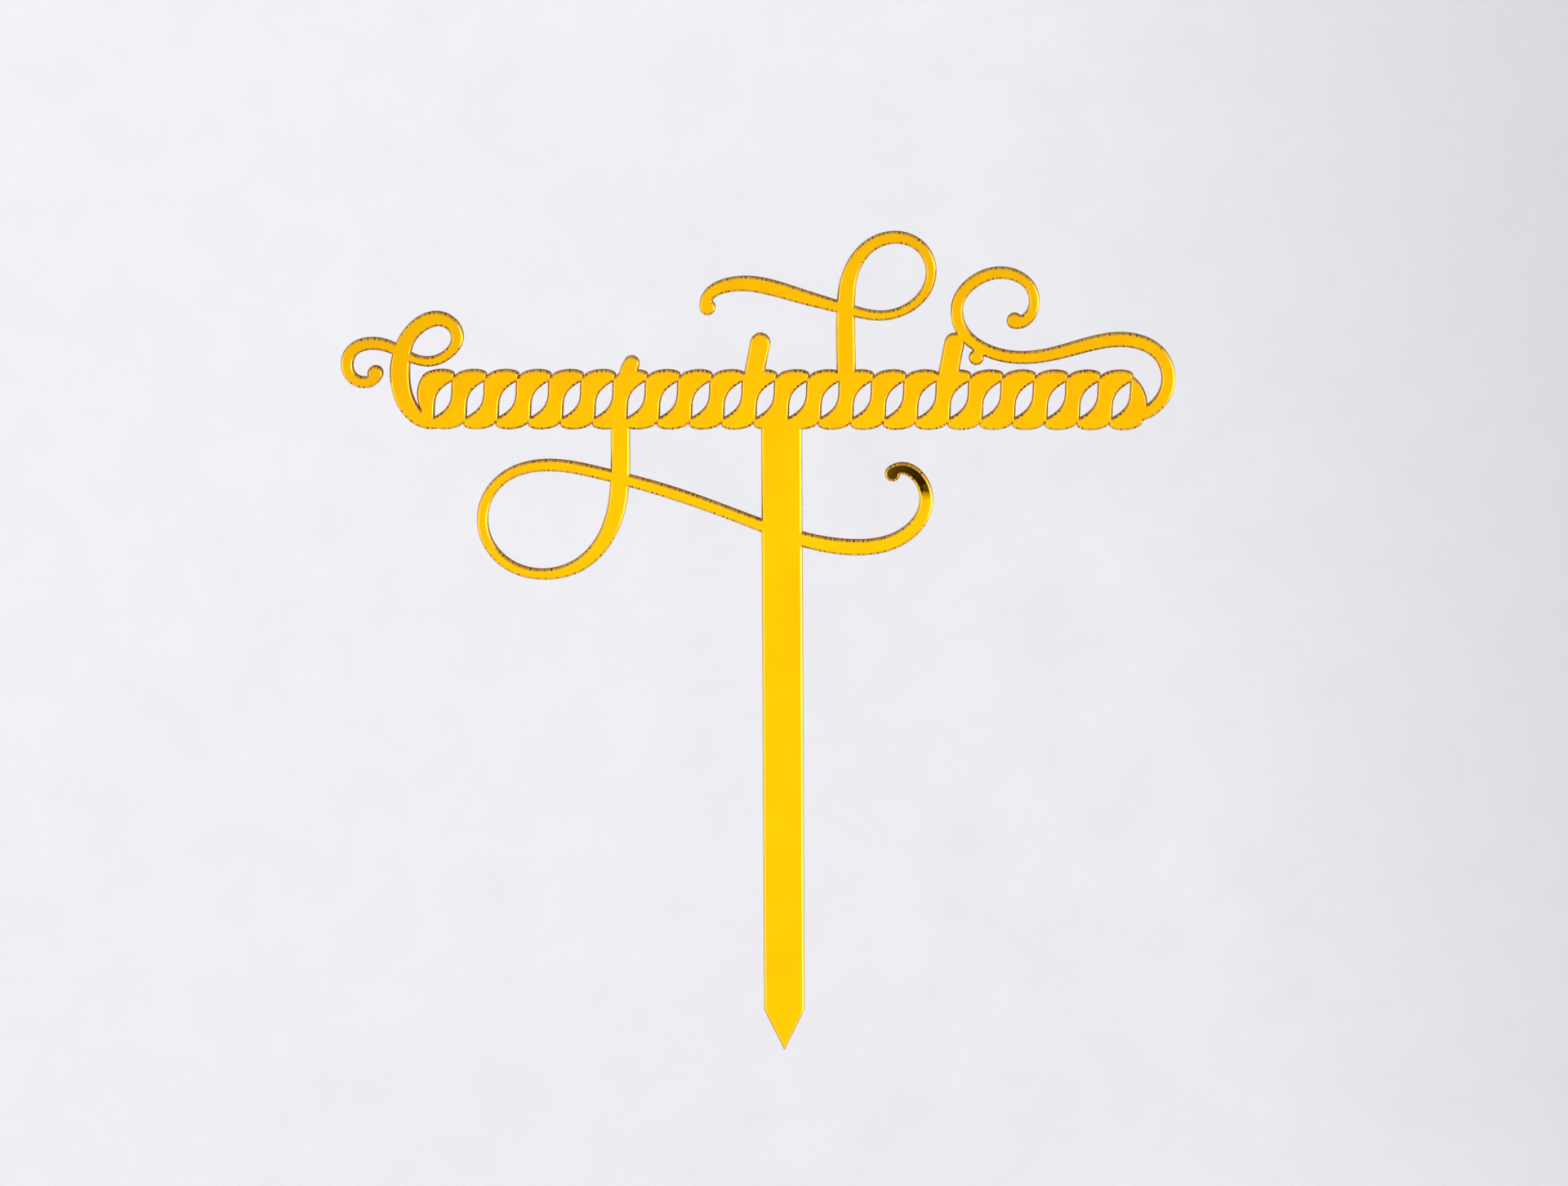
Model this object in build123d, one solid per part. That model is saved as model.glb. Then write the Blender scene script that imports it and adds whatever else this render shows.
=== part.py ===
from build123d import *
from math import ceil
import os

# Cake topper cut from one mirrored acrylic sheet: a pointed stake, a twisted band and pen flourishes.
# Millimetres. X runs along the band, Y from the mirror face in front (-Y) to the painted back, Z up.
# The origin is the stake's tip, on the stake's centre line and half way through the sheet.

# Sheet, a laminate of three layers
ACRYLIC_THICKNESS = 1.85
MIRROR_THICKNESS = 0.05
PAINT_THICKNESS = 0.10

# Stake
STAKE_WIDTH = 7.3
STAKE_LENGTH = 113.2
POINT_LENGTH = 7.4

# Twisted band: leaning strands, counted from the stake, with a slit between neighbours
STRAND_PITCH = 5.8
STRANDS_EACH_SIDE = 11
BAND_HEIGHT = 10.8
BAND_LEAN = 0.50
NOTCH_DEPTH = 1.2
CREST_INSET = 0.2
SLIT_WALL = 1.0
SLIT_WIDTH = 2.7
SLIT_BEND = 1.0
END_BULGE = 0.9

# Flourishes, as far as their pen lines' middles reach above or below the band
PEN_WIDTH = 3.4
OPENING_SCROLL_RISE = 9.5
TALL_LOOP_RISE = 23.8
END_SCROLL_RISE = 17.4
LOWER_LOOP_DROP = 26.3

# Strands that carry the stems and buds, the last counted back from the band's end
TALL_STEM_STRAND = 2
LOWER_STEM_STRAND = -5
BUD_STRAND = -1
END_BUD_STRANDS_BACK = 6

# Buds, the balls that end the pen lines and the pearl under the end scroll
BUD_WIDTH = 3.6
BUD_RISE = 6.6
BUD_LEAN = 0.20
BALL_RADIUS = 1.4
PEARL_RADIUS = 1.35
PEARL_STRANDS_BACK = 4.97
PEARL_SHARE = 0.13

# Spacing of the points that carry a pen line's two edges
PEN_STEP = 1.0

# Sections of the sheet meet on straight lines this far outside the band
SECTION_MARGIN = 0.8

# Pen lines from the band to their balls, in spans that don't cross themselves. A row holds x in strands from
# the strand that carries the line, the band's edge that z counts from (1 is the top, -1 the bottom), z past
# that edge as a share of the line's rise or drop, and the share of the full pen width.
OPENING_SCROLL_LINE = [
    [
        (0.28, -0.78, 0, 0.65), (-0.16, -0.7, 0, 0.74), (-0.53, -0.33, 0, 0.9), (-0.78, 0.3, 0, 1),
        (-0.83, 0.96, 0, 1.05), (-0.59, 1, 0.58, 0.87), (-0.2, 1, 0.84, 0.86), (0.41, 1, 0.96, 0.77),
        (0.85, 1, 0.81, 0.67), (0.96, 1, 0.57, 0.65),
    ],
    [
        (0.68, 1, 0.3, 0.56), (0.1, 1, 0.15, 0.52), (-0.48, 1, 0.22, 0.5), (-0.97, 1, 0.38, 0.59),
        (-1.72, 1, 0.49, 0.65), (-2.31, 1, 0.35, 0.68), (-2.47, 1, 0.12, 0.65), (-2.33, 0.74, 0, 0.59),
        (-1.93, 0.56, 0, 0.6), (-1.54, 0.84, 0, 0.62),
    ],
]
TALL_LOOP_LINE = [
    [
        (0, 0, 0, 1), (0, 1, 0.11, 1), (0, 1, 0.45, 0.97), (0.14, 1, 0.72, 0.85),
        (0.72, 1, 0.93, 0.71), (1.55, 1, 1, 0.65), (2.31, 1, 0.93, 0.59), (2.64, 1, 0.74, 0.56),
        (2.34, 1, 0.55, 0.53),
    ],
    [
        (1.17, 1, 0.41, 0.5), (0, 1, 0.46, 0.59), (-1.45, 1, 0.56, 0.76), (-2.67, 1, 0.64, 0.82),
        (-3.62, 1, 0.64, 0.74), (-4.24, 1, 0.56, 0.65), (-4.33, 1, 0.47, 0.62),
    ],
]
END_SCROLL_LINE = [
    [
        (-0.28, -0.63, 0, 0.59), (0.12, -0.5, 0, 0.65), (0.66, -0.09, 0, 0.71), (0.95, 0.67, 0, 0.74),
        (0.66, 1, 0.17, 0.74), (-0.28, 1, 0.31, 0.76), (-1.55, 1, 0.26, 0.74), (-3.29, 1, 0.13, 0.65),
        (-4.71, 1, 0.21, 0.65), (-5.41, 1, 0.41, 0.65), (-5.53, 1, 0.7, 0.65), (-4.95, 1, 0.93, 0.65),
        (-4.05, 1, 1, 0.62), (-3.31, 1, 0.86, 0.56), (-3.21, 1, 0.64, 0.58), (-3.46, 1, 0.515, 0.64),
        (-3.8, 1, 0.495, 0.68),
    ],
]
LOWER_LOOP_LINE = [
    [
        (0.36, 1, -0.04, 0.85), (0.1, 0.28, 0, 1), (0, -1, 0, 1), (-0.03, -1, 0.37, 1),
        (-0.34, -1, 0.68, 0.91), (-1.21, -1, 0.92, 0.74), (-2.38, -1, 1, 0.56), (-3.55, -1, 0.93, 0.56),
        (-4.24, -1, 0.73, 0.56), (-4.17, -1, 0.48, 0.59),
    ],
    [
        (-3.53, -1, 0.32, 0.59), (-2.48, -1, 0.25, 0.62), (-0.69, -1, 0.3, 0.62), (1.9, -1, 0.46, 0.65),
        (4.36, -1, 0.66, 0.65), (5.71, -1, 0.76, 0.76), (7.17, -1, 0.81, 0.82), (8.62, -1, 0.75, 0.79),
        (9.41, -1, 0.56, 0.74), (9.36, -1, 0.37, 0.68), (8.86, -1, 0.27, 0.63), (8.4, -1, 0.29, 0.62),
    ],
]

half_band = BAND_HEIGHT / 2
band_level = STAKE_LENGTH + half_band
notch_level = half_band - NOTCH_DEPTH
band_end = (STRANDS_EACH_SIDE + 0.5) * STRAND_PITCH - BAND_LEAN * notch_level
sheet_thickness = ACRYLIC_THICKNESS + MIRROR_THICKNESS + PAINT_THICKNESS


def strand(index):
    return index * STRAND_PITCH


def block(left, right, low, high):
    return Pos((left + right) / 2, (low + high) / 2) * Rectangle(right - left, high - low)


def leaning(x, z):
    return (x + BAND_LEAN * z, band_level + z)


# Top or bottom end of one strand: a rounded crest between two notches
def crest(index, side):
    left = strand(index - 0.5)
    right = strand(index + 0.5)
    notch = side * notch_level
    reach = (4 * side * half_band - notch) / 3
    return Bezier(
        leaning(left, notch),
        leaning(left + CREST_INSET, reach),
        leaning(right - CREST_INSET, reach),
        leaning(right, notch),
    )


# The whole band without its slits. The lower crests start one strand later than the upper ones, so that
# both ends stand nearly upright.
def band_strip():
    edges = []
    for index in range(-STRANDS_EACH_SIDE, STRANDS_EACH_SIDE):
        edges.append(crest(index, 1))
        edges.append(crest(index + 1, -1))
    for way in (-1, 1):
        inner = leaning(way * strand(STRANDS_EACH_SIDE - 0.5), way * notch_level)
        outer = leaning(way * strand(STRANDS_EACH_SIDE + 0.5), -way * notch_level)
        edges.append(ThreePointArc(inner, (way * (band_end + END_BULGE), band_level), outer))
    return make_face(edges)


# Leaf-shaped slit with an S bend, half way between two strands
def slit(index):
    x = strand(index + 0.5)
    swell = SLIT_WIDTH * 2 / 3
    tip = notch_level - SLIT_WALL
    reach = tip / 3
    edges = []
    for side in (swell, -swell):
        edges.append(Bezier(
            leaning(x, -tip),
            leaning(x + side + SLIT_BEND, -reach),
            leaning(x + side - SLIT_BEND, reach),
            leaning(x, tip),
        ))
    return make_face(edges)


# Rows of a pen line as x, z and pen width
def drawn(line, start, rise):
    spans = []
    for rows in line:
        spans.append([])
        for x, edge, reach, pen in rows:
            z = band_level + edge * half_band + reach * rise
            spans[-1].append((strand(start + x), z, pen * PEN_WIDTH))
    return spans


# A pen line of swelling width with round ends, one face for each span. The centre line carries the pen
# width as its third coordinate.
def pen_line(spans):
    centre = Spline([spot for span in spans for spot in span])
    stops = [0, *[centre.param_at_point(span[0]) for span in spans[1:]], 1]
    faces = []
    for first, last in zip(stops, stops[1:]):
        steps = ceil(centre.length * (last - first) / PEN_STEP)
        left = []
        right = []
        noses = []
        for step in range(steps + 1):
            at = first + (last - first) * step / steps
            spot = centre.position_at(at)
            along = centre.tangent_at(at)
            along = Vector(along.X, along.Y).normalized() * spot.Z / 2
            middle = Vector(spot.X, spot.Y)
            left.append(middle + Vector(-along.Y, along.X))
            right.append(middle - Vector(-along.Y, along.X))
            noses.append((middle - along, middle + along))
        edges = [Spline(left), Spline(right)]
        if first == 0:
            edges.append(ThreePointArc(left[0], noses[0][0], right[0]))
        else:
            edges.append(Line(left[0], right[0]))
        if last == 1:
            edges.append(ThreePointArc(left[-1], noses[-1][1], right[-1]))
        else:
            edges.append(Line(left[-1], right[-1]))
        faces.append(make_face(edges))
    return faces


# A pen line with its ball, which bulges on the inner side of the line's last bend and carries on its outer edge
def flourish(line, start, rise):
    spans = drawn(line, start, rise)
    centre = Spline([spot for span in spans for spot in span])
    end = centre.position_at(1)
    along = centre.tangent_at(1)
    before = centre.tangent_at(0.97)
    inward = Vector(-along.Y, along.X).normalized()
    if before.X * along.Y < before.Y * along.X:
        inward = -inward
    ball = Vector(end.X, end.Y) + inward * (BALL_RADIUS - end.Z / 2)
    return pen_line(spans) + [Pos(ball.X, ball.Y) * Circle(BALL_RADIUS)]


def bud(index):
    rise = half_band + BUD_RISE - BUD_WIDTH / 2
    foot = (strand(index), band_level, BUD_WIDTH)
    head = (strand(index) + BUD_LEAN * rise, band_level + rise, BUD_WIDTH)
    return pen_line([[foot, head]])


def stake_blade(top):
    side = STAKE_WIDTH / 2
    right = [(0, 0), (side, POINT_LENGTH), (side, top)]
    left = [(-side, top), (-side, POINT_LENGTH)]
    return make_face(Polyline(*right, *left, close=True))


# Flat outlines of the flourishes, each from its own pen line
pearl_x = strand(STRANDS_EACH_SIDE - PEARL_STRANDS_BACK)
pearl = Pos(pearl_x, band_level + half_band + PEARL_SHARE * END_SCROLL_RISE) * Circle(PEARL_RADIUS)
opening_lines = Sketch() + flourish(OPENING_SCROLL_LINE, -STRANDS_EACH_SIDE, OPENING_SCROLL_RISE)
tall_lines = Sketch() + flourish(TALL_LOOP_LINE, TALL_STEM_STRAND, TALL_LOOP_RISE)
end_lines = Sketch() + [*flourish(END_SCROLL_LINE, STRANDS_EACH_SIDE, END_SCROLL_RISE), pearl]
lower_lines = Sketch() + flourish(LOWER_LOOP_LINE, LOWER_STEM_STRAND, -LOWER_LOOP_DROP)
buds = bud(BUD_STRAND) + bud(STRANDS_EACH_SIDE - END_BUD_STRANDS_BACK)
slits = [slit(index) for index in range(-STRANDS_EACH_SIDE, STRANDS_EACH_SIDE)]

# The whole sheet's outline
outline = band_strip() + [stake_blade(band_level), opening_lines, tall_lines, end_lines, lower_lines, *buds]
outline = outline - slits

# Sections of the sheet, which meet on straight lines at the band's ends, just outside its edges and at the
# stake's sides
low = band_level - half_band - SECTION_MARGIN
high = band_level + half_band + SECTION_MARGIN
extent = outline.bounding_box()
lower_half = block(-band_end, band_end, low, band_level)
above_low = block(extent.min.X, extent.max.X, low, extent.max.Y)
below_high = block(extent.min.X, extent.max.X, extent.min.Y, high)
stake = stake_blade(low)
lower_loop, tail_curl = (lower_lines - [above_low, stake]).faces().sort_by(Axis.X)
sections = {
    "stake": stake,
    "opening_scroll": opening_lines - lower_half,
    "tall_loop": tall_lines - below_high,
    "end_scroll": end_lines - lower_half,
    "lower_loop": lower_loop,
    "tail_curl": tail_curl,
}
sections["twist_band"] = outline - list(sections.values())


# A layer of the sheet between two depths, front to back
def layer(face, front, back):
    return extrude(Plane.XZ.offset(-back) * face, back - front)


front_face = -sheet_thickness / 2
mirror_front = front_face + ACRYLIC_THICKNESS
paint_front = mirror_front + MIRROR_THICKNESS
back_face = paint_front + PAINT_THICKNESS

parts = {name: layer(face, front_face, mirror_front) for name, face in sections.items()}
parts["mirror_coat"] = layer(outline, mirror_front, paint_front)
parts["back_paint"] = layer(outline, paint_front, back_face)

os.makedirs("parts", exist_ok=True)
for name, solid in parts.items():
    export_step(solid, f"parts/{name}.step")
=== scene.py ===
from math import ceil, cos, radians, sin

import bmesh
import bpy
from mathutils import Matrix, Quaternion, Vector
from mathutils.geometry import delaunay_2d_cdt


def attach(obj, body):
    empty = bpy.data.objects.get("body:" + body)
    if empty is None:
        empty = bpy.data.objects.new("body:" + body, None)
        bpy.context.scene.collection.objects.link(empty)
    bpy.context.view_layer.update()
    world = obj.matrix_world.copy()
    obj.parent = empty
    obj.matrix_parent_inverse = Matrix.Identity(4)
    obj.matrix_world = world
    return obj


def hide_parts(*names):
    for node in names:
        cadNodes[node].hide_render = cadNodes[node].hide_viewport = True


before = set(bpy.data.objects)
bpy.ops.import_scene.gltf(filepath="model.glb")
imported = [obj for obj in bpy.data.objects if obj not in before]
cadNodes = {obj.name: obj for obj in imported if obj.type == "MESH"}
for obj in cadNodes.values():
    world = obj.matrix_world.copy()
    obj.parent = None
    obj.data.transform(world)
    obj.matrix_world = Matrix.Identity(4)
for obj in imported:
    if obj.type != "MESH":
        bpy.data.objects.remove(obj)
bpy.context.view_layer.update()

scene = bpy.context.scene
scene.view_settings.view_transform = "Standard"
print("frame loaded:", len(cadNodes), "nodes")


# Camera, looking down on the sheet a little, as in the photograph
photoView = {
    "distance": 1.5,
    "frameWidth": 0.28196,
    "aim": (0.00034, -0.001, 0.0837),
    "toRight": radians(3),
    "above": radians(8),
    "roll": radians(-0.28),
    "sensor": 36.0,
}
aim = Vector(photoView["aim"])
back = Vector((
    sin(photoView["toRight"]) * cos(photoView["above"]),
    -cos(photoView["toRight"]) * cos(photoView["above"]),
    sin(photoView["above"]),
))
cameraData = bpy.data.cameras.new("photoCamera")
cameraData.sensor_width = photoView["sensor"]
cameraData.lens = photoView["sensor"] * photoView["distance"] / photoView["frameWidth"]
camera = bpy.data.objects.new("photoCamera", cameraData)
camera.location = aim + back * photoView["distance"]
turned = back.to_track_quat("Z", "Y") @ Quaternion((0, 0, 1), photoView["roll"])
camera.rotation_euler = turned.to_euler()
scene.collection.objects.link(camera)
scene.camera = camera
print("camera set, lens", round(cameraData.lens, 1))


# Outline of the sheet, read from the mirror coat's front and made smooth
cutPath = {
    "curveStep": 0.00022,
    "straightStep": 0.00040,
    "straightFrom": 0.0075,  # longer runs are straight
    "cornerTurn": radians(40),
    "cornerClear": 0.0010,  # no points this near to an outward corner
    "fanTurn": radians(18),
    "weldWithin": 8e-6,
    "frontWithin": 1e-5,
    # edges that face up or down get ticks of painted shade and painted highlight; these two shares set
    # where the ticks begin and where they are full
    "ticksFrom": 0.35,  # share of up or down in the way an edge faces
    "ticksFull": 0.70,
}


def frontLoops(node):
    bm = bmesh.new()
    bm.from_mesh(node.data)
    bmesh.ops.remove_doubles(bm, verts=bm.verts, dist=cutPath["weldWithin"])
    bm.verts.index_update()
    frontY = min(v.co.y for v in bm.verts) + cutPath["frontWithin"]
    front = {face for face in bm.faces if all(v.co.y < frontY for v in face.verts)}
    following = {}
    for face in front:
        for corner in face.loops:
            if not any(f in front for f in corner.edge.link_faces if f is not face):
                following[corner.vert.index] = corner.link_loop_next.vert.index
    spots = {v.index: Vector((v.co.x, v.co.z)) for v in bm.verts}
    bm.free()
    loops = []
    while following:
        first = min(following)
        loop = []
        at = first
        while at in following:
            loop.append(spots[at])
            at = following.pop(at)
        loops.append(loop)
    return loops


def leftOf(way):
    return Vector((-way.y, way.x))


def turnBetween(before, after):
    return -before.angle_signed(after)  # positive to the left


def smoothLoop(points):
    count = len(points)
    runs = [points[(i + 1) % count] - points[i] for i in range(count)]
    lengths = [run.length for run in runs]
    ways = [run.normalized() for run in runs]
    straight = [length > cutPath["straightFrom"] for length in lengths]
    turns = [turnBetween(ways[i - 1], ways[i]) for i in range(count)]
    corner = []
    arriving = []
    leaving = []
    for i in range(count):
        sharp = abs(turns[i]) > cutPath["cornerTurn"] or (straight[i - 1] and straight[i])
        corner.append(sharp)
        if sharp:
            arriving.append(ways[i - 1])
            leaving.append(ways[i])
            continue
        if straight[i - 1]:
            way = ways[i - 1]
        elif straight[i]:
            way = ways[i]
        else:
            way = (ways[i - 1] * lengths[i] + ways[i] * lengths[i - 1]).normalized()
        arriving.append(way)
        leaving.append(way)
    spots = []  # place, way in, way out, 1 on a curve
    for i in range(count):
        j = (i + 1) % count
        curved = 0.0 if straight[i - 1] or straight[i] else 1.0
        spots.append((points[i], arriving[i], leaving[i], curved))
        if straight[i]:
            start = cutPath["cornerClear"] if corner[i] and turns[i] > 0 else 0
            stop = lengths[i] - (cutPath["cornerClear"] if corner[j] and turns[j] > 0 else 0)
            pieces = max(1, ceil((stop - start) / cutPath["straightStep"]))
            for k in range(0 if start else 1, pieces + (1 if stop < lengths[i] else 0)):
                place = points[i] + ways[i] * (start + (stop - start) * k / pieces)
                spots.append((place, ways[i], ways[i], 0.0))
            continue
        pieces = max(1, ceil(lengths[i] / cutPath["curveStep"]))
        pull = leaving[i] * lengths[i]
        push = arriving[j] * lengths[i]
        for k in range(1, pieces):
            t = k / pieces
            place = points[i] * (2 * t ** 3 - 3 * t ** 2 + 1) + pull * (t ** 3 - 2 * t ** 2 + t)
            place += points[j] * (3 * t ** 2 - 2 * t ** 3) + push * (t ** 3 - t ** 2)
            way = points[i] * (6 * t ** 2 - 6 * t) + pull * (3 * t ** 2 - 4 * t + 1)
            way += points[j] * (6 * t - 6 * t ** 2) + push * (3 * t ** 2 - 2 * t)
            way.normalize()
            spots.append((place, way, way, 1.0))
    path = []  # place, direction into the material, 1 on a curve
    for place, wayIn, wayOut, curved in spots:
        turn = turnBetween(wayIn, wayOut)
        if turn < -cutPath["fanTurn"]:
            copies = ceil(-turn / cutPath["fanTurn"])
            for k in range(copies + 1):
                inward = leftOf(wayIn)
                inward.rotate(Matrix.Rotation(turn * k / copies, 2))
                path.append((place, inward, curved))
        else:
            inward = (leftOf(wayIn) + leftOf(wayOut)).normalized() / cos(turn / 2)
            path.append((place, inward, curved))
    return path


cutLoops = [smoothLoop(loop) for loop in frontLoops(cadNodes["mirror_coat"])]
print("outline:", len(cutLoops), "loops,", sum(len(loop) for loop in cutLoops), "points")


# Triangles of a filled plan that the cut path winds round
def fillInside(spots, links, tris, fromEdges, flat, edges):
    crossing = {}  # turns gained on stepping over to the left of this run
    for (a, b), sources in zip(links, fromEdges):
        for source in sources:
            if source >= len(edges):
                continue
            start, stop = edges[source]
            gain = 1 if (spots[b] - spots[a]).dot(flat[stop] - flat[start]) > 0 else -1
            crossing[(a, b)] = crossing.get((a, b), 0) + gain
            crossing[(b, a)] = crossing.get((b, a), 0) - gain
    beside = {}
    for k, tri in enumerate(tris):
        for i in range(3):
            beside[(tri[i], tri[(i + 1) % 3])] = k
    turns = {}
    waiting = []
    for (a, b), k in beside.items():
        if (b, a) not in beside and k not in turns:
            turns[k] = crossing.get((a, b), 0)
            waiting.append(k)
    while waiting:
        k = waiting.pop()
        for i in range(3):
            a, b = tris[k][i], tris[k][(i + 1) % 3]
            other = beside.get((b, a))
            if other is not None and other not in turns:
                turns[other] = turns[k] + crossing.get((b, a), 0)
                waiting.append(other)
    return [tris[k] for k in range(len(tris)) if turns.get(k, 0) > 0]


# share of painted shade and painted highlight ticks on a curved edge, by how much it faces up or down
def paintedTickShareOf(inward, curved):
    upright = abs(inward.normalized().y)
    share = (upright - cutPath["ticksFrom"]) / (cutPath["ticksFull"] - cutPath["ticksFrom"])
    return curved * min(1.0, max(0.0, share))


meshLimits = {"fillWithin": 1e-9, "weldWithin": 2e-8, "thinnest": 1e-9, "crease": radians(38)}


# One layer of the laminate: rings of points stepped in from the cut path
def layerMesh(name, profile):
    bm = bmesh.new()
    alongWall = bm.verts.layers.float.new("alongWall")
    depthShare = bm.verts.layers.float.new("depthShare")
    alongEdge = bm.verts.layers.float.new("alongEdge")
    paintedTicks = bm.verts.layers.float.new("paintedTicks")
    edgeFace = bm.faces.layers.float.new("edgeFace")
    rings = []
    for inset, y, wall, share in profile:
        row = []
        for path in cutLoops:
            ring = []
            reached = 0.0
            before = path[0][0]
            for place, inward, curved in path:
                reached += (place - before).length
                before = place
                spot = place + inward * inset
                vert = bm.verts.new((spot.x, y, spot.y))
                vert[alongWall] = wall
                vert[depthShare] = share
                vert[alongEdge] = reached
                vert[paintedTicks] = paintedTickShareOf(inward, curved)
                ring.append(vert)
            row.append(ring)
        rings.append(row)
    for below, above in zip(rings, rings[1:]):
        for low, high in zip(below, above):
            for i in range(len(low)):
                j = (i + 1) % len(low)
                face = bm.faces.new((low[i], low[j], high[j], high[i]))
                face[edgeFace] = 1.0
    caps = []
    for row, facesFront in ((rings[0], False), (rings[-1], True)):
        verts = [vert for ring in row for vert in ring]
        flat = [Vector((vert.co.x, vert.co.z)) for vert in verts]
        edges = []
        start = 0
        for ring in row:
            edges += [(start + i, start + (i + 1) % len(ring)) for i in range(len(ring))]
            start += len(ring)
        filled = delaunay_2d_cdt(flat, edges, [], 0, meshLimits["fillWithin"])
        spots, links, tris, fromVerts, fromEdges, _ = filled
        inside = fillInside(spots, links, tris, fromEdges, flat, edges)
        spare = {}
        for tri in inside:
            corners = []
            for i in tri:
                if fromVerts[i]:
                    corners.append(verts[fromVerts[i][0]])
                    continue
                if i not in spare:
                    spot = spots[i]
                    spare[i] = bm.verts.new((spot.x, verts[0].co.y, spot.y))
                corners.append(spare[i])
            if len(set(corners)) < 3:
                continue
            if not facesFront:
                corners.reverse()
            caps.append(bm.faces.new(corners))
    capSet = set(caps)
    for edge in bm.edges:
        inCap = [face in capSet for face in edge.link_faces]
        edge.smooth = not (any(inCap) and not all(inCap))
    bmesh.ops.remove_doubles(bm, verts=bm.verts, dist=meshLimits["weldWithin"])
    bmesh.ops.dissolve_degenerate(bm, edges=bm.edges, dist=meshLimits["thinnest"])
    for face in bm.faces:
        face.smooth = True
    for edge in bm.edges:
        if len(edge.link_faces) == 2 and edge.calc_face_angle(0) > meshLimits["crease"]:
            edge.smooth = False
    unpaired = [edge for edge in bm.edges if len(edge.link_faces) != 2]
    mesh = bpy.data.meshes.new(name)
    bm.to_mesh(mesh)
    bm.free()
    print(name, len(mesh.polygons), "faces, open edges", len(unpaired))
    return mesh


def newMaterial(name):
    material = bpy.data.materials.new(name)
    material.use_nodes = True
    tree = material.node_tree
    return material, tree, tree.nodes["Principled BSDF"]


def addNode(tree, kind, place, **settings):
    node = tree.nodes.new(kind)
    node.location = place
    for key, value in settings.items():
        setattr(node, key, value)
    return node


def noiseOn(tree, vector, scale, detail, roughness, place):
    noise = addNode(tree, "ShaderNodeTexNoise", place)
    noise.inputs["Scale"].default_value = scale
    noise.inputs["Detail"].default_value = detail
    noise.inputs["Roughness"].default_value = roughness
    tree.links.new(vector, noise.inputs["Vector"])
    return noise.outputs["Fac"]


def rampOn(tree, value, stops, place):
    ramp = addNode(tree, "ShaderNodeValToRGB", place)
    ends = ramp.color_ramp.elements
    while len(ends) < len(stops):
        ends.new(0.5)
    for element, (position, colour) in zip(ends, stops):
        element.position = position
        element.color = (*colour, 1.0)
    tree.links.new(value, ramp.inputs["Fac"])
    return ramp.outputs["Color"]


def grey(level):
    return (level, level, level)


def rangeOn(tree, value, given, wanted, place):
    span = addNode(tree, "ShaderNodeMapRange", place)
    span.inputs["From Min"].default_value, span.inputs["From Max"].default_value = given
    span.inputs["To Min"].default_value, span.inputs["To Max"].default_value = wanted
    tree.links.new(value, span.inputs["Value"])
    return span.outputs["Result"]


def bumpOn(tree, height, strength, distance, place):
    bump = addNode(tree, "ShaderNodeBump", place)
    bump.inputs["Strength"].default_value = strength
    bump.inputs["Distance"].default_value = distance
    tree.links.new(height, bump.inputs["Height"])
    return bump.outputs["Normal"]


# places of the Mix node's sockets, whose names repeat
mixSockets = {"factor": 0, "numberA": 2, "numberB": 3, "colourA": 6, "colourB": 7, "number": 0, "colour": 2}


# Mirror face: gold, polished, with handling smudges and a little waviness of the sheet
goldLook = {
    "colour": (0.99, 0.52, 0.002),
    "deeper": (0.96, 0.475, 0.002),
    "smooth": 0.008,
    "smudged": 0.035,
    "smudgeScale": 90.0,
    "smudgeStops": (0.35, 0.6),
    "fineScale": 900.0,
    "roughSpan": (0.15, 0.4),
    "waveScale": 28.0,
    "waveStrength": 0.02,
    "waveHeight": 0.0004,
}
goldFace, tree, surface = newMaterial("goldFace")
spot = addNode(tree, "ShaderNodeTexCoord", (-900, 0)).outputs["Object"]
smudge = noiseOn(tree, spot, goldLook["smudgeScale"], 4.0, 0.55, (-700, 0))
tint = rampOn(tree, smudge, (
    (goldLook["smudgeStops"][0], goldLook["deeper"]),
    (goldLook["smudgeStops"][1], goldLook["colour"]),
), (-500, 120))
tree.links.new(tint, surface.inputs["Base Color"])
fine = noiseOn(tree, spot, goldLook["fineScale"], 3.0, 0.6, (-700, -180))
both = addNode(tree, "ShaderNodeMath", (-520, -120), operation="MULTIPLY")
tree.links.new(smudge, both.inputs[0])
tree.links.new(fine, both.inputs[1])
roughness = (goldLook["smooth"], goldLook["smudged"])
rough = rangeOn(tree, both.outputs["Value"], goldLook["roughSpan"], roughness, (-340, -120))
tree.links.new(rough, surface.inputs["Roughness"])
wave = noiseOn(tree, spot, goldLook["waveScale"], 1.0, 0.4, (-700, -360))
waved = bumpOn(tree, wave, goldLook["waveStrength"], goldLook["waveHeight"], (-340, -360))
tree.links.new(waved, surface.inputs["Normal"])
surface.inputs["Metallic"].default_value = 1.0


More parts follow.
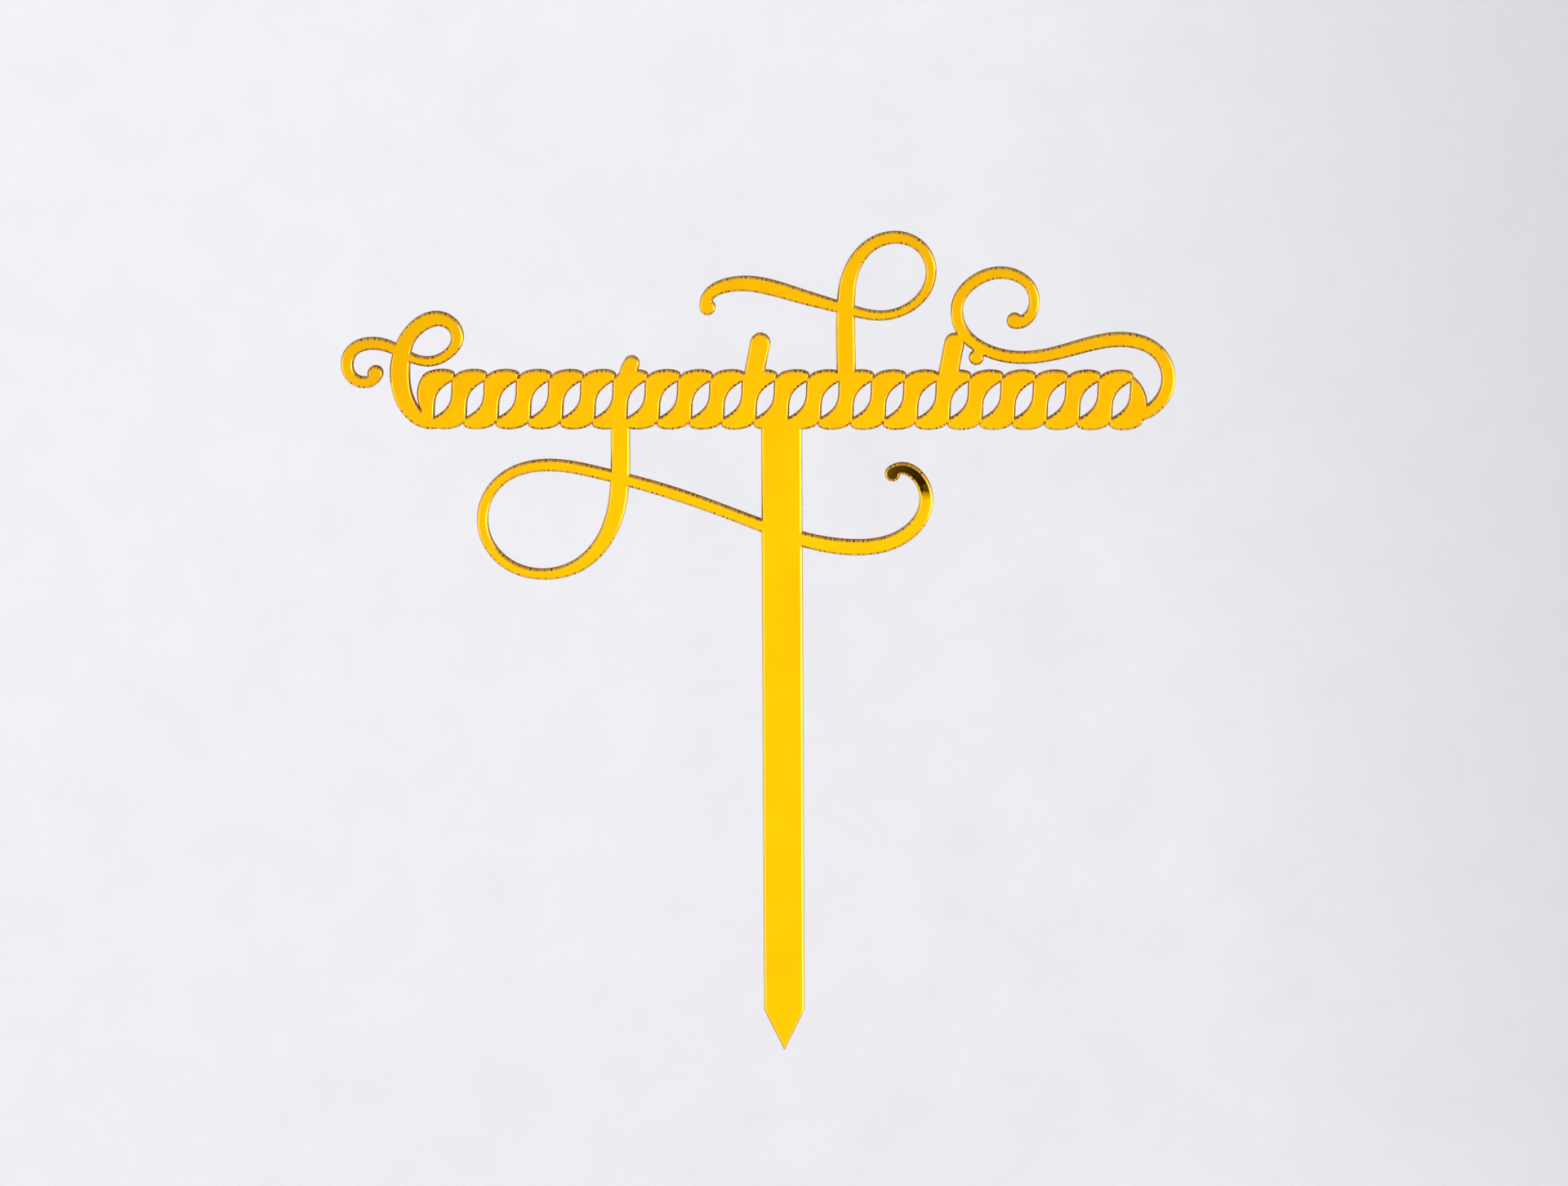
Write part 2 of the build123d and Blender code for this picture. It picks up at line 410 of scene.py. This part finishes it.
# Cut edge: amber wall and gold lip. The wall is darkened with painted shade, and curves that face up or
# down get ticks of painted shade and painted highlight along the laser ridges
edgeLook = {
    "wallPaintedShade": (0.12, 0.052, 0.004),
    "wallAmber": (0.80, 0.42, 0.020),
    "lipPaintedShade": (0.30, 0.145, 0.010),
    "lipGold": (0.98, 0.55, 0.065),
    "lipPaintedHighlight": (1.0, 0.76, 0.24),
    "grazing": (0.34, 0.15, 0.015, 1.0),
    "pitch": 0.00042,
    "patchScale": 120.0,
    "patchShare": 0.3,
    "lipStops": (0.50, 0.57, 0.71, 0.80),
    "lipEven": 0.65,
    "wallStops": (0.53, 0.69),
    "wallEven": 0.59,
    "lipDepth": (0.80, 0.88),
    "roughness": (0.08, 0.24),
    "ridge": 0.00005,
    "ridgeStrength": 0.45,
}
cutEdge, tree, surface = newMaterial("cutEdge")
spot = addNode(tree, "ShaderNodeTexCoord", (-1100, -220)).outputs["Object"]
along = addNode(tree, "ShaderNodeAttribute", (-1100, 0), attribute_name="alongEdge")
striae = addNode(tree, "ShaderNodeTexNoise", (-740, 0), noise_dimensions="1D")
striae.inputs["Scale"].default_value = 1.0 / edgeLook["pitch"]
striae.inputs["Detail"].default_value = 1.5
tree.links.new(along.outputs["Fac"], striae.inputs["W"])
ticks = striae.outputs["Fac"]
patches = noiseOn(tree, spot, edgeLook["patchScale"], 2.0, 0.5, (-740, -220))
mixed = addNode(tree, "ShaderNodeMath", (-560, -100), operation="MULTIPLY_ADD")
tree.links.new(patches, mixed.inputs[0])
mixed.inputs[1].default_value = edgeLook["patchShare"]
tree.links.new(ticks, mixed.inputs[2])
tickShare = addNode(tree, "ShaderNodeAttribute", (-740, -440), attribute_name="paintedTicks")
tones = {}
for name, y in (("lipEven", 160), ("wallEven", -60)):
    tone = addNode(tree, "ShaderNodeMix", (-480, y), data_type="FLOAT")
    tree.links.new(tickShare.outputs["Fac"], tone.inputs[mixSockets["factor"]])
    tone.inputs[mixSockets["numberA"]].default_value = edgeLook[name]
    tree.links.new(mixed.outputs["Value"], tone.inputs[mixSockets["numberB"]])
    tones[name] = tone.outputs[mixSockets["number"]]
# lip tones: painted shade, gold, gold, painted highlight
lipTones = [edgeLook[name] for name in ("lipPaintedShade", "lipGold", "lipGold", "lipPaintedHighlight")]
lip = rampOn(tree, tones["lipEven"], list(zip(edgeLook["lipStops"], lipTones)), (-380, 160))
# wall tones: painted shade and amber
wallTones = [edgeLook[name] for name in ("wallPaintedShade", "wallAmber")]
wall = rampOn(tree, tones["wallEven"], list(zip(edgeLook["wallStops"], wallTones)), (-380, -60))
depth = addNode(tree, "ShaderNodeAttribute", (-560, -340), attribute_name="depthShare")
onLip = rangeOn(tree, depth.outputs["Fac"], edgeLook["lipDepth"], (0.0, 1.0), (-380, -340))
blend = addNode(tree, "ShaderNodeMix", (-160, 60), data_type="RGBA")
tree.links.new(onLip, blend.inputs[mixSockets["factor"]])
tree.links.new(wall, blend.inputs[mixSockets["colourA"]])
tree.links.new(lip, blend.inputs[mixSockets["colourB"]])
tree.links.new(blend.outputs[mixSockets["colour"]], surface.inputs["Base Color"])
rough = rangeOn(tree, ticks, (0.3, 0.7), edgeLook["roughness"], (-160, -200))
tree.links.new(rough, surface.inputs["Roughness"])
ridged = bumpOn(tree, ticks, edgeLook["ridgeStrength"], edgeLook["ridge"], (-160, -420))
tree.links.new(ridged, surface.inputs["Normal"])
surface.inputs["Metallic"].default_value = 0.85
surface.inputs["Specular Tint"].default_value = edgeLook["grazing"]
surface.inputs["Specular IOR Level"].default_value = 0.1
print("gold face and cut edge materials made")


# Acrylic sheet: cut wall, eased front edge with a low burr, and the flat mirror face
sheetSize = {
    "back": 0.00085,
    "front": -0.0010,
    "faceDrop": 0.00003,
    "ridgePitch": 0.00045,
    "ridgeDepth": 0.000014,
}
top = sheetSize["front"]
sheetProfile = [  # step in from the cut, y, share of ridges, share of the depth
    (0.0, sheetSize["back"], 0.0, 0.0),
    (0.0, 0.0004, 1.0, 0.25),
    (0.0, -0.0002, 1.0, 0.55),
    (0.0, top + 0.00042, 0.8, 0.78),
    (0.00008, top + 0.00030, 0.5, 0.84),
    (0.00018, top + 0.00018, 0.3, 0.90),
    (0.00028, top + 0.00008, 0.1, 0.94),
    (0.00034, top + 0.00002, 0.0, 0.97),
    (0.00037, top, 0.0, 1.0),
    (0.00041, top + sheetSize["faceDrop"], 0.0, 1.0),
]


def striationTree():
    group = bpy.data.node_groups.new("laserRidges", "GeometryNodeTree")
    face = group.interface
    face.new_socket("Geometry", in_out="INPUT", socket_type="NodeSocketGeometry")
    pitch = face.new_socket("ridgePitch", in_out="INPUT", socket_type="NodeSocketFloat")
    depth = face.new_socket("ridgeDepth", in_out="INPUT", socket_type="NodeSocketFloat")
    faceMat = face.new_socket("faceMaterial", in_out="INPUT", socket_type="NodeSocketMaterial")
    edgeMat = face.new_socket("edgeMaterial", in_out="INPUT", socket_type="NodeSocketMaterial")
    face.new_socket("Geometry", in_out="OUTPUT", socket_type="NodeSocketGeometry")
    link = group.links.new
    given = addNode(group, "NodeGroupInput", (-1200, 0))
    place = addNode(group, "GeometryNodeInputPosition", (-1200, -260))
    across = addNode(group, "ShaderNodeVectorMath", (-1000, -260), operation="MULTIPLY")
    across.inputs[1].default_value = (1.0, 0.0, 1.0)
    link(place.outputs["Position"], across.inputs[0])
    perPitch = addNode(group, "ShaderNodeMath", (-1000, -60), operation="DIVIDE")
    perPitch.inputs[0].default_value = 1.0
    link(given.outputs["ridgePitch"], perPitch.inputs[1])
    scaled = addNode(group, "ShaderNodeVectorMath", (-820, -200), operation="SCALE")
    link(across.outputs["Vector"], scaled.inputs[0])
    link(perPitch.outputs["Value"], scaled.inputs["Scale"])
    ridges = noiseOn(group, scaled.outputs["Vector"], 1.0, 2.0, 0.5, (-640, -200))
    centred = addNode(group, "ShaderNodeMath", (-460, -200), operation="SUBTRACT")
    link(ridges, centred.inputs[0])
    centred.inputs[1].default_value = 0.5
    deep = addNode(group, "ShaderNodeMath", (-300, -200), operation="MULTIPLY")
    link(centred.outputs["Value"], deep.inputs[0])
    link(given.outputs["ridgeDepth"], deep.inputs[1])
    onWall = addNode(group, "GeometryNodeInputNamedAttribute", (-460, -380), data_type="FLOAT")
    onWall.inputs["Name"].default_value = "alongWall"
    masked = addNode(group, "ShaderNodeMath", (-140, -240), operation="MULTIPLY")
    link(deep.outputs["Value"], masked.inputs[0])
    link(onWall.outputs["Attribute"], masked.inputs[1])
    normal = addNode(group, "GeometryNodeInputNormal", (-300, -420))
    push = addNode(group, "ShaderNodeVectorMath", (20, -300), operation="SCALE")
    link(normal.outputs["Normal"], push.inputs[0])
    link(masked.outputs["Value"], push.inputs["Scale"])
    moved = addNode(group, "GeometryNodeSetPosition", (200, 0))
    link(given.outputs["Geometry"], moved.inputs["Geometry"])
    link(push.outputs["Vector"], moved.inputs["Offset"])
    solid = addNode(group, "GeometryNodeRealizeInstances", (380, 0))
    link(moved.outputs["Geometry"], solid.inputs["Geometry"])
    allGold = addNode(group, "GeometryNodeSetMaterial", (560, 0))
    link(solid.outputs["Geometry"], allGold.inputs["Geometry"])
    link(given.outputs["faceMaterial"], allGold.inputs["Material"])
    onEdge = addNode(group, "GeometryNodeInputNamedAttribute", (560, -240), data_type="FLOAT")
    onEdge.inputs["Name"].default_value = "edgeFace"
    edged = addNode(group, "GeometryNodeSetMaterial", (760, 0))
    link(allGold.outputs["Geometry"], edged.inputs["Geometry"])
    link(onEdge.outputs["Attribute"], edged.inputs["Selection"])
    link(given.outputs["edgeMaterial"], edged.inputs["Material"])
    result = addNode(group, "NodeGroupOutput", (960, 0))
    link(edged.outputs["Geometry"], result.inputs["Geometry"])
    sockets = {"ridgePitch": pitch, "ridgeDepth": depth, "faceMaterial": faceMat, "edgeMaterial": edgeMat}
    return group, sockets


def makePiece(name, mesh):
    piece = bpy.data.objects.new(name, mesh)
    scene.collection.objects.link(piece)
    return piece


acrylicSheet = makePiece("acrylicSheet", layerMesh("acrylicSheet", sheetProfile))
ridgeGroup, ridgeSockets = striationTree()
modifier = acrylicSheet.modifiers.new("laserRidges", "NODES")
modifier.node_group = ridgeGroup
modifier[ridgeSockets["ridgePitch"].identifier] = sheetSize["ridgePitch"]
modifier[ridgeSockets["ridgeDepth"].identifier] = sheetSize["ridgeDepth"]
modifier[ridgeSockets["faceMaterial"].identifier] = goldFace
modifier[ridgeSockets["edgeMaterial"].identifier] = cutEdge
evaluated = acrylicSheet.evaluated_get(bpy.context.evaluated_depsgraph_get())
sheetMesh = bpy.data.meshes.new_from_object(evaluated)
acrylicSheet.modifiers.remove(modifier)
acrylicSheet.data = sheetMesh
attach(acrylicSheet, "root")
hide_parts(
    "stake", "twist_band", "opening_scroll", "tall_loop", "end_scroll", "lower_loop", "tail_curl",
)
print("acrylic sheet:", len(sheetMesh.polygons), "faces,", len(sheetMesh.materials), "materials")


# Mirror film, a hairline at the back of the cut wall
filmSize = {
    "front": 0.00085,
    "back": 0.00090,
    "colour": (0.93, 0.60, 0.10),
    "dull": (0.55, 0.36, 0.09),
    "pitScale": 700.0,
    "pitDepth": 0.00002,
    "roughness": (0.35, 0.12),
}
filmLook, tree, surface = newMaterial("mirrorFilm")
spot = addNode(tree, "ShaderNodeTexCoord", (-900, 0)).outputs["Object"]
pits = noiseOn(tree, spot, filmSize["pitScale"], 3.0, 0.6, (-700, 0))
tint = rampOn(tree, pits, ((0.35, filmSize["dull"]), (0.6, filmSize["colour"])), (-450, 80))
tree.links.new(tint, surface.inputs["Base Color"])
rough = rangeOn(tree, pits, (0.3, 0.7), filmSize["roughness"], (-450, -160))
tree.links.new(rough, surface.inputs["Roughness"])
tree.links.new(bumpOn(tree, pits, 0.2, filmSize["pitDepth"], (-450, -360)), surface.inputs["Normal"])
surface.inputs["Metallic"].default_value = 1.0
mirrorFilm = makePiece("mirrorFilm", layerMesh("mirrorFilm", [
    (0.0, filmSize["back"], 0.0, 0.0), (0.0, filmSize["front"], 0.0, 1.0),
]))
mirrorFilm.data.materials.append(filmLook)
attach(mirrorFilm, "root")
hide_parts("mirror_coat")


# Back paint: sprayed grey, speckled, scorched brown beside the cut
paintSize = {
    "front": 0.00090,
    "back": 0.00100,
    "rim": 0.0004,
    "roundIn": 0.00004,
    "roundDown": 0.00003,
    "colour": (0.30, 0.31, 0.32),
    "speck": (0.20, 0.21, 0.22),
    "scorch": (0.16, 0.10, 0.05),
    "sprayScale": 1600.0,
    "sprayHeight": 0.00004,
    "burnScale": 260.0,
    "burnShare": (0.35, 1.0),
    "roughness": (0.75, 0.55),
}
paintLook, tree, surface = newMaterial("backPaint")
spot = addNode(tree, "ShaderNodeTexCoord", (-1100, 0)).outputs["Object"]
spray = noiseOn(tree, spot, paintSize["sprayScale"], 3.0, 0.65, (-900, 0))
base = rampOn(tree, spray, ((0.38, paintSize["speck"]), (0.55, paintSize["colour"])), (-680, 80))
near = addNode(tree, "ShaderNodeAttribute", (-900, -240), attribute_name="depthShare")
burn = addNode(tree, "ShaderNodeMath", (-680, -200), operation="MULTIPLY")
tree.links.new(near.outputs["Fac"], burn.inputs[0])
uneven = noiseOn(tree, spot, paintSize["burnScale"], 3.0, 0.6, (-1100, -420))
uneven = rangeOn(tree, uneven, (0.35, 0.65), paintSize["burnShare"], (-880, -420))
tree.links.new(uneven, burn.inputs[1])
mix = addNode(tree, "ShaderNodeMix", (-420, 40), data_type="RGBA")
tree.links.new(burn.outputs["Value"], mix.inputs[mixSockets["factor"]])
tree.links.new(base, mix.inputs[mixSockets["colourA"]])
mix.inputs[mixSockets["colourB"]].default_value = (*paintSize["scorch"], 1.0)
tree.links.new(mix.outputs[mixSockets["colour"]], surface.inputs["Base Color"])
rough = rangeOn(tree, spray, (0.3, 0.7), paintSize["roughness"], (-420, -200))
tree.links.new(rough, surface.inputs["Roughness"])
tree.links.new(bumpOn(tree, spray, 0.35, paintSize["sprayHeight"], (-420, -420)), surface.inputs["Normal"])
print("back materials made")
paintCoat = makePiece("paintCoat", layerMesh("paintCoat", [
    (paintSize["rim"], paintSize["back"], 0.0, 0.0),
    (paintSize["roundIn"], paintSize["back"], 0.0, 0.7),
    (0.0, paintSize["back"] - paintSize["roundDown"], 0.0, 1.0),
    (0.0, paintSize["front"], 0.0, 1.0),
]))
paintCoat.data.materials.append(paintLook)
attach(paintCoat, "root")
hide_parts("back_paint")


# Pale paper sweep behind and below the topper, seen from its inner side only, with painted shade towards
# the right of the back wall
stageSize = {
    "wallY": 0.25,
    "floorZ": -0.16,
    "side": 1.7,
    "front": -3.6,
    "top": 2.0,
    "bend": 0.4,
    "bendSteps": 12,
    "cove": 0.08,
    "coveSteps": 10,
    "paper": (0.80, 0.798, 0.822),
    "paperDull": (0.775, 0.772, 0.797),
    "paperPaintedShade": (0.60, 0.594, 0.612),
    "mottleScale": 60.0,
    "shadeSlant": 0.25,
    "shadeSpan": (0.07, 0.24),
    "shadeHeight": (-0.15, -0.06),
}


def planePiece(name, corners):
    mesh = bpy.data.meshes.new(name)
    mesh.from_pydata(corners, [], [(0, 1, 2, 3)])
    return makePiece(name, mesh)


paper, tree, surface = newMaterial("palePaper")
spot = addNode(tree, "ShaderNodeTexCoord", (-1100, 0)).outputs["Object"]
mottle = noiseOn(tree, spot, stageSize["mottleScale"], 5.0, 0.6, (-900, 0))
sheet = rampOn(tree, mottle, ((0.3, stageSize["paperDull"]), (0.6, stageSize["paper"])), (-680, 0))
sides = addNode(tree, "ShaderNodeSeparateXYZ", (-900, -300))
tree.links.new(spot, sides.inputs["Vector"])
# painted shade: the back wall's colour darkens towards the right and upper right, and the floor is left
# even
slant = addNode(tree, "ShaderNodeMath", (-780, -300), operation="MULTIPLY_ADD")
tree.links.new(sides.outputs["Z"], slant.inputs[0])
slant.inputs[1].default_value = stageSize["shadeSlant"]
tree.links.new(sides.outputs["X"], slant.inputs[2])
toRight = rangeOn(tree, slant.outputs["Value"], stageSize["shadeSpan"], (0.0, 1.0), (-620, -300))
onWall = rangeOn(tree, sides.outputs["Z"], stageSize["shadeHeight"], (0.0, 1.0), (-620, -480))
paintedShadeFade = addNode(tree, "ShaderNodeMath", (-500, -380), operation="MULTIPLY")
tree.links.new(toRight, paintedShadeFade.inputs[0])
tree.links.new(onWall, paintedShadeFade.inputs[1])
toned = addNode(tree, "ShaderNodeMix", (-380, 0), data_type="RGBA")
tree.links.new(paintedShadeFade.outputs["Value"], toned.inputs[mixSockets["factor"]])
tree.links.new(sheet, toned.inputs[mixSockets["colourA"]])
toned.inputs[mixSockets["colourB"]].default_value = (*stageSize["paperPaintedShade"], 1.0)
tree.links.new(toned.outputs[mixSockets["colour"]], surface.inputs["Base Color"])
surface.inputs["Roughness"].default_value = 0.85
surface.inputs["Specular IOR Level"].default_value = 0.2
clear = addNode(tree, "ShaderNodeBsdfTransparent", (0, -200))
behind = addNode(tree, "ShaderNodeNewGeometry", (-200, 300))
pick = addNode(tree, "ShaderNodeMixShader", (300, 0))
paperOutput = tree.nodes["Material Output"]
tree.links.new(behind.outputs["Backfacing"], pick.inputs["Fac"])
tree.links.new(surface.outputs["BSDF"], pick.inputs[1])
tree.links.new(clear.outputs["BSDF"], pick.inputs[2])
tree.links.new(pick.outputs["Shader"], paperOutput.inputs["Surface"])

# walls run along the left, the back and the right, with rounded corners, and curve into the floor
stations = []  # place in plan, direction into the room
side, wallY, bend = stageSize["side"], stageSize["wallY"], stageSize["bend"]
stations.append((Vector((-side, stageSize["front"])), Vector((1, 0))))
for turnX, fromTurn in ((-1, 180), (1, 90)):
    middle = Vector((turnX * (side - bend), wallY - bend))
    for k in range(stageSize["bendSteps"] + 1):
        turn = radians(fromTurn - 90 * k / stageSize["bendSteps"])
        outward = Vector((cos(turn), sin(turn)))
        stations.append((middle + outward * bend, -outward))
stations.append((Vector((side, stageSize["front"])), Vector((-1, 0))))
cove, floorZ = stageSize["cove"], stageSize["floorZ"]
rise = []  # step into the room, height
for k in range(stageSize["coveSteps"] + 1):
    turn = radians(90) * k / stageSize["coveSteps"]
    rise.append((cove - cove * sin(turn), floorZ + cove - cove * cos(turn)))
rise.append((0.0, stageSize["top"]))
corners = []
for place, inward in stations:
    corners += [(*(place + inward * step), z) for step, z in rise]
rows = len(rise)
panels = []
for i in range(len(stations) - 1):
    for k in range(rows - 1):
        low = i * rows + k
        panels.append((low, low + rows, low + rows + 1, low + 1))
mesh = bpy.data.meshes.new("paperWalls")
mesh.from_pydata(corners, [], panels)
mesh.shade_smooth()
paperWalls = makePiece("paperWalls", mesh)
paperFloor = planePiece("paperFloor", [
    (-side, stageSize["front"], floorZ),
    (side, stageSize["front"], floorZ),
    (side, wallY, floorZ),
    (-side, wallY, floorZ),
])
for sheetPiece in (paperWalls, paperFloor):
    sheetPiece.data.materials.append(paper)
    sheetPiece.visible_glossy = False
    sheetPiece.visible_shadow = False


# Light: soft surroundings, lamps from the upper left, the front and above, and one behind for the back
lamps = {
    "keyLamp": {"place": (-0.75, -0.90, 0.45), "aim": (-0.05, 0.2, 0.08), "size": 0.9, "power": 4.5},
    "fillLamp": {"place": (-0.05, -1.2, 0.15), "aim": (0, 0, 0.08), "size": 0.5, "power": 2.2},
    "topLamp": {"place": (0.3, -1.0, 1.3), "aim": (0.4, -1.0, -0.16), "size": 1.4, "power": 9.0},
    "backLamp": {"place": (0.7, 1.2, 0.9), "aim": (0, 0, 0.08), "size": 1.0, "power": 5.0},
}


def areaLamp(name, place, aim, size, power):
    data = bpy.data.lights.new(name, "AREA")
    data.size = size
    data.energy = power
    lamp = bpy.data.objects.new(name, data)
    lamp.location = place
    lamp.rotation_euler = (Vector(aim) - Vector(place)).to_track_quat("-Z", "Y").to_euler()
    lamp.visible_glossy = False
    scene.collection.objects.link(lamp)


for name, settings in lamps.items():
    areaLamp(name, **settings)

world = bpy.data.worlds.new("studio")
scene.world = world
world.use_nodes = True
tree = world.node_tree
ground = tree.nodes["Background"]
toward = addNode(tree, "ShaderNodeTexCoord", (-1200, 0)).outputs["Generated"]
axes = addNode(tree, "ShaderNodeSeparateXYZ", (-1000, 0))
tree.links.new(toward, axes.inputs["Vector"])
levelsUp = (  # height of the way looked, brightness
    (-1.0, 0.80), (-0.75, 0.85), (-0.50, 1.0), (-0.30, 1.20), (-0.195, 1.24),
    (-0.128, 1.22), (-0.123, 1.18), (-0.116, 1.12), (-0.110, 1.06), (-0.096, 0.97),
    (-0.03, 0.95), (0.08, 0.86), (0.30, 0.66), (0.60, 0.46), (1.0, 0.40),
)
levelsAcross = (  # the same from left to right, and both are multiplied
    (-1.0, 1.0), (-0.75, 0.97), (-0.5, 0.95), (-0.2, 0.90), (-0.105, 0.90),
    (-0.085, 0.93), (-0.060, 1.0), (-0.045, 1.0), (-0.025, 0.95), (0.0, 0.92),
    (0.2, 0.82), (0.5, 0.80), (0.75, 1.0), (0.88, 2.1), (1.0, 2.7),
)
rampScale = 0.5
height = rangeOn(tree, axes.outputs["Z"], (-1.0, 1.0), (0.0, 1.0), (-820, 100))
across = rangeOn(tree, axes.outputs["X"], (-1.0, 1.0), (0.0, 1.0), (-820, -160))
stopsUp = [((z + 1) / 2, grey(level * rampScale)) for z, level in levelsUp]
stopsAcross = [((x + 1) / 2, grey(level * rampScale)) for x, level in levelsAcross]
upDown = rampOn(tree, height, stopsUp, (-640, 100))
leftRight = rampOn(tree, across, stopsAcross, (-640, -160))
product = addNode(tree, "ShaderNodeMath", (-380, 40), operation="MULTIPLY")
tree.links.new(upDown, product.inputs[0])
tree.links.new(leftRight, product.inputs[1])
total = addNode(tree, "ShaderNodeMath", (-220, 0), operation="MULTIPLY")
tree.links.new(product.outputs["Value"], total.inputs[0])
total.inputs[1].default_value = 1 / rampScale ** 2
tree.links.new(total.outputs["Value"], ground.inputs["Color"])

# Dark thing in front that only the tail curl's end mirrors
cardSize = {"curl": (0.0243, 0.1043), "right": 0.018, "left": 0.020, "over": 0.010, "under": 0.0052}
lookX = 2 * cardSize["curl"][0] - camera.location.x
lookZ = 2 * cardSize["curl"][1] - camera.location.z
cardY = camera.location.y
darkCard = planePiece("darkCard", [
    (lookX - cardSize["left"], cardY, lookZ - cardSize["under"]),
    (lookX + cardSize["right"], cardY, lookZ - cardSize["under"]),
    (lookX + cardSize["right"], cardY, lookZ + cardSize["over"]),
    (lookX - cardSize["left"], cardY, lookZ + cardSize["over"]),
])
cardLook, tree, surface = newMaterial("darkCard")
spot = addNode(tree, "ShaderNodeTexCoord", (-900, 0)).outputs["Object"]
parts = addNode(tree, "ShaderNodeSeparateXYZ", (-720, 0))
tree.links.new(spot, parts.inputs["Vector"])
fromLeft = rangeOn(tree, parts.outputs["X"], (lookX - cardSize["left"], lookX), (0.0, 1.0), (-540, 0))
shade = rampOn(tree, fromLeft, ((0.0, grey(0.30)), (0.55, grey(0.10)), (1.0, grey(0.004))), (-340, 0))
tree.links.new(shade, surface.inputs["Base Color"])
surface.inputs["Roughness"].default_value = 0.9
darkCard.data.materials.append(cardLook)
darkCard.visible_camera = False
darkCard.visible_shadow = False
darkCard.visible_diffuse = False
print("stage and light set")
